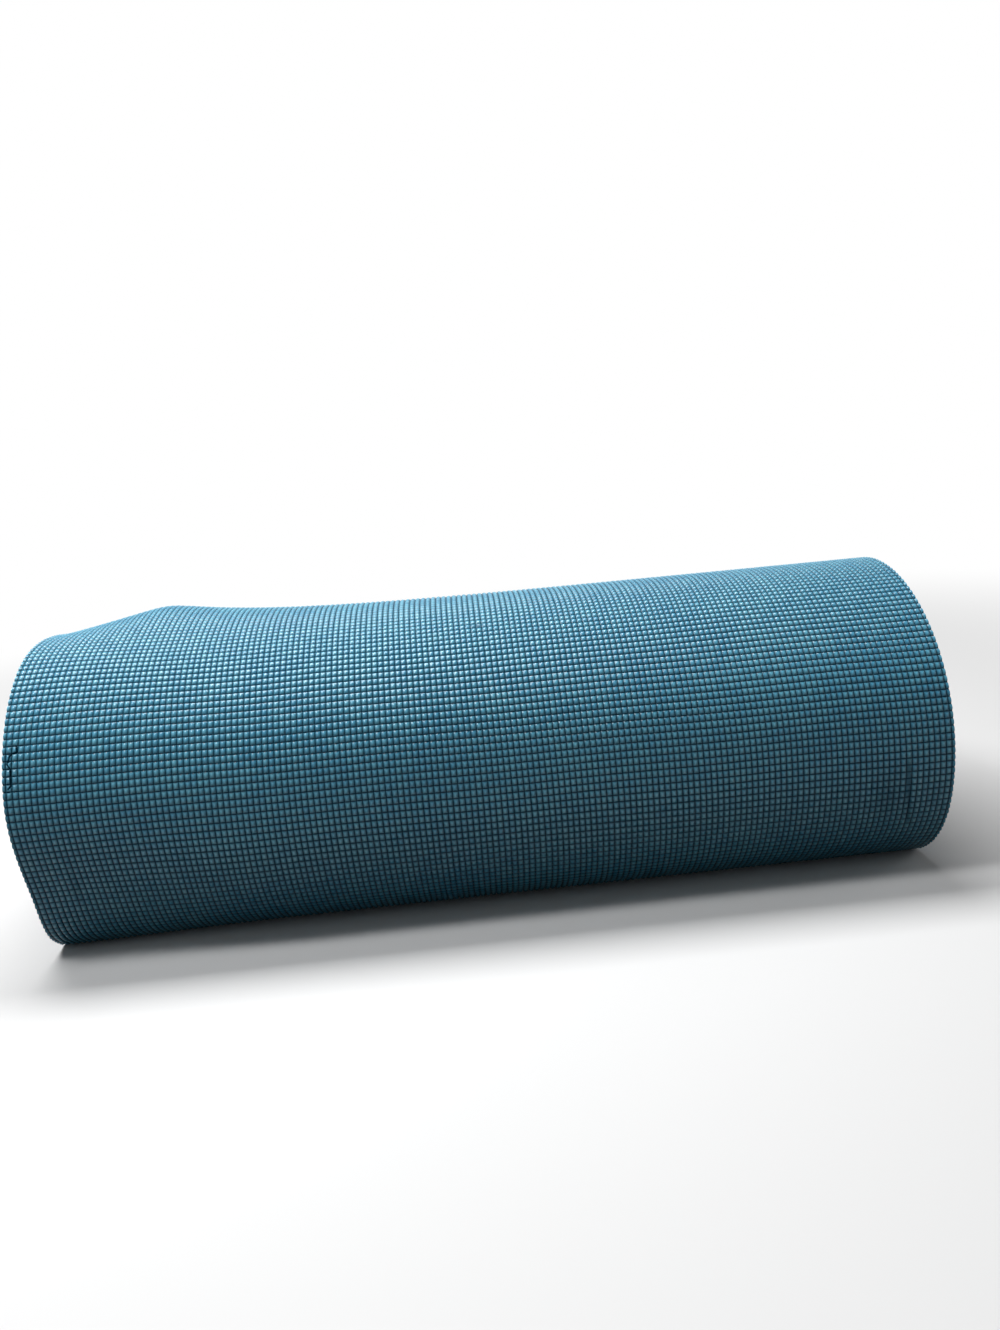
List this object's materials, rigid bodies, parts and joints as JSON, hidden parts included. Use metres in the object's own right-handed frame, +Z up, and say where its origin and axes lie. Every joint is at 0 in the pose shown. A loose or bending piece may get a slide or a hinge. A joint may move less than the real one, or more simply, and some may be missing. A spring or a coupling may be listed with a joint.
{
  "type": "yoga mat",
  "caption": "Loosely rolled foam exercise mat with a woven core layer and embossed faces. The free end peels off the roll and lies flat.",
  "frame": {"origin": "on the floor, under the middle of the roll", "axes": "+X along the roll, to the right as the picture sees it; +Y away from the viewer, towards the free end; +Z up"},
  "size_m": [0.61, 0.254, 0.2049],
  "materials": {
    "foam": "embossed blue-teal foam, satin",
    "scrim": "open woven polyester scrim, undyed"
  },
  "bodies": {
    "roll": {"bottom_foam_roll": "foam", "scrim_roll": "scrim", "top_foam_roll": "foam"},
    "tail_1": {"bottom_foam_tail_1": "foam", "scrim_tail_1": "scrim", "top_foam_tail_1": "foam"},
    "tail_2": {"bottom_foam_tail_2": "foam", "scrim_tail_2": "scrim", "top_foam_tail_2": "foam"},
    "tail_3": {"bottom_foam_tail_3": "foam", "scrim_tail_3": "scrim", "top_foam_tail_3": "foam"},
    "tail_4": {"bottom_foam_tail_4": "foam", "scrim_tail_4": "scrim", "top_foam_tail_4": "foam"},
    "tail_5": {"bottom_foam_tail_5": "foam", "scrim_tail_5": "scrim", "top_foam_tail_5": "foam"},
    "tail_6": {"bottom_foam_tail_6": "foam", "scrim_tail_6": "scrim", "top_foam_tail_6": "foam"}
  },
  "joints": [
    {"name": "tail_peel", "type": "hinge", "parent": "roll", "child": "tail_1", "pos_m": [0, 0.07606, 0.00152], "axis": [-1, 0, 0], "range_deg": [0, 33.75]},
    {"name": "tail_bend_2", "type": "hinge", "parent": "tail_1", "child": "tail_2", "pos_m": [0, 0.0959, 0.01496], "axis": [-1, 0, 0], "range_deg": [0, 17.5]},
    {"name": "tail_bend_3", "type": "hinge", "parent": "tail_2", "child": "tail_3", "pos_m": [0, 0.11346, 0.03634], "axis": [-1, 0, 0], "range_deg": [0, 17.5]},
    {"name": "tail_bend_4", "type": "hinge", "parent": "tail_3", "child": "tail_4", "pos_m": [0, 0.12406, 0.06311], "axis": [-1, 0, 0], "range_deg": [0, 17.5]},
    {"name": "tail_bend_5", "type": "hinge", "parent": "tail_4", "child": "tail_5", "pos_m": [0, 0.12667, 0.09817], "axis": [-1, 0, 0], "range_deg": [0, 17.5]},
    {"name": "tail_bend_6", "type": "hinge", "parent": "tail_5", "child": "tail_6", "pos_m": [0, 0.1186, 0.13249], "axis": [-1, 0, 0], "range_deg": [0, 17.5]}
  ],
  "couplings": [
    {"joint": "tail_bend_2", "follows": "tail_peel", "ratio": 0.5185},
    {"joint": "tail_bend_3", "follows": "tail_peel", "ratio": 0.5185},
    {"joint": "tail_bend_4", "follows": "tail_peel", "ratio": 0.5185},
    {"joint": "tail_bend_5", "follows": "tail_peel", "ratio": 0.5185},
    {"joint": "tail_bend_6", "follows": "tail_peel", "ratio": 0.5185}
  ]
}
